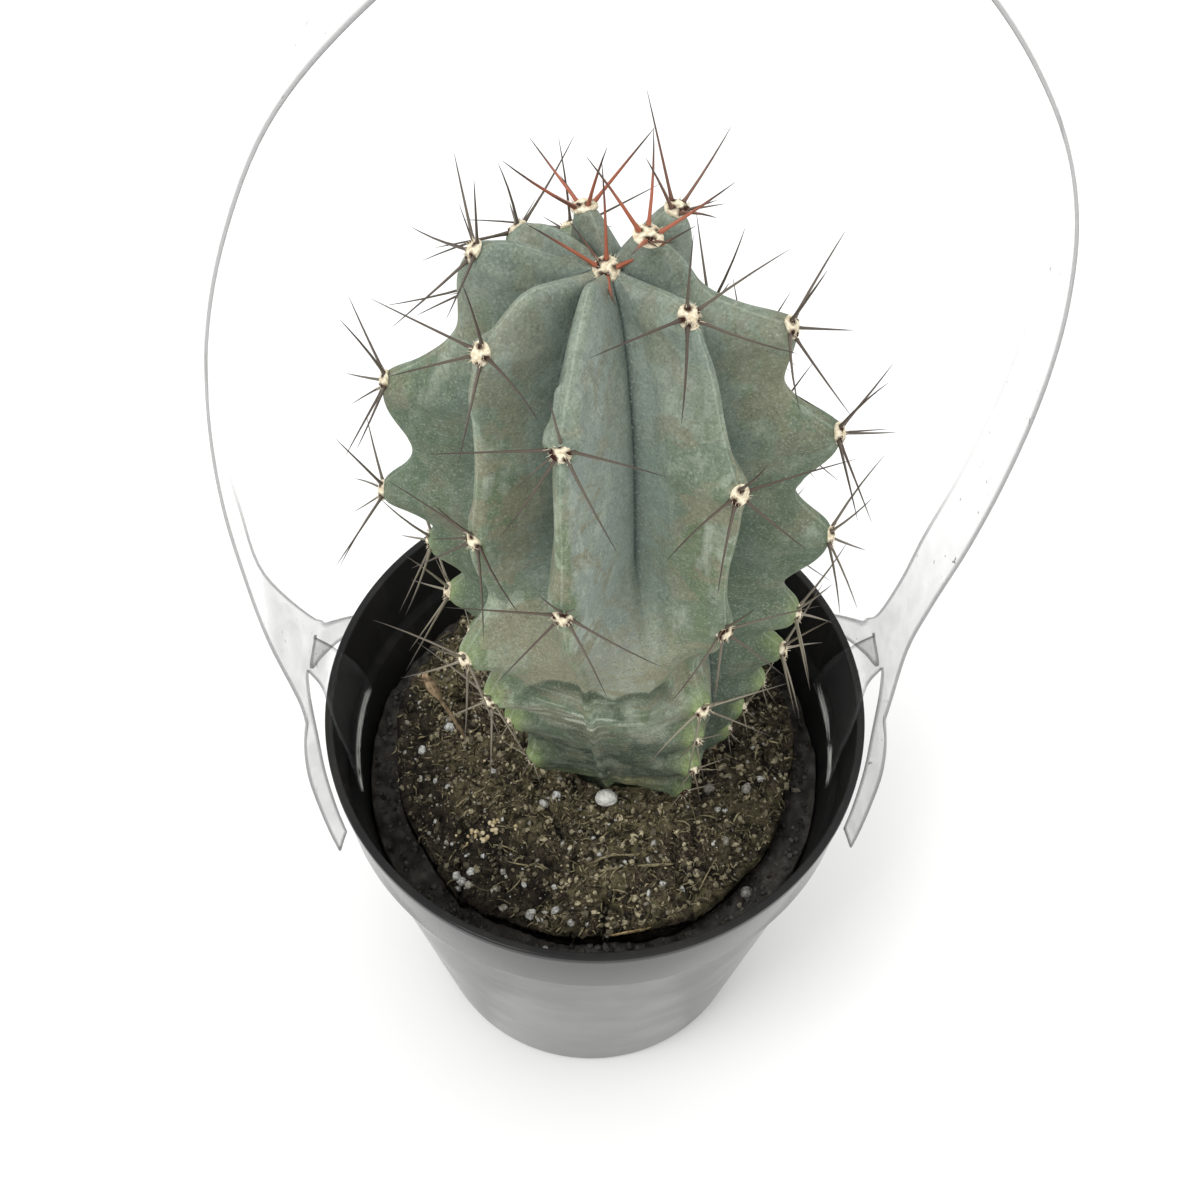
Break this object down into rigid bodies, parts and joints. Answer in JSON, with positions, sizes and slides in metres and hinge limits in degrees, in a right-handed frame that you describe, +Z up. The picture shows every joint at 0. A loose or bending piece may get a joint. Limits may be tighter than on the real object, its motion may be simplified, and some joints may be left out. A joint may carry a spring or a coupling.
{
  "type": "potted organ pipe cactus",
  "caption": "Young organ pipe cactus with ribbed glaucous stem and dark spines in a round plastic nursery pot, with a clear plastic hanging strap clipped over the rim",
  "frame": {"origin": "centre of the pot's underside, on the ground", "axes": "+Z is up along the pot's axis, -Y is the front of the plant, the side that the picture shows, and +X is to the right in the picture"},
  "size_m": [0.1186, 0.1, 0.2779],
  "materials": {
    "pot_plastic": "thin moulded black plastic with a satin sheen",
    "mossy_soil": null,
    "dark_mix": null,
    "stem_skin": null,
    "clear_plastic": null,
    "perlite": null,
    "dry_stem": "dry brown stalk"
  },
  "bodies": {
    "root": {"nursery_pot": "pot_plastic", "root_ball": "mossy_soil", "loose_mix": "dark_mix", "cactus": "stem_skin", "clear_strap": "clear_plastic", "white_lump": "perlite", "dry_stalk": "dry_stem"}
  },
  "joints": []
}
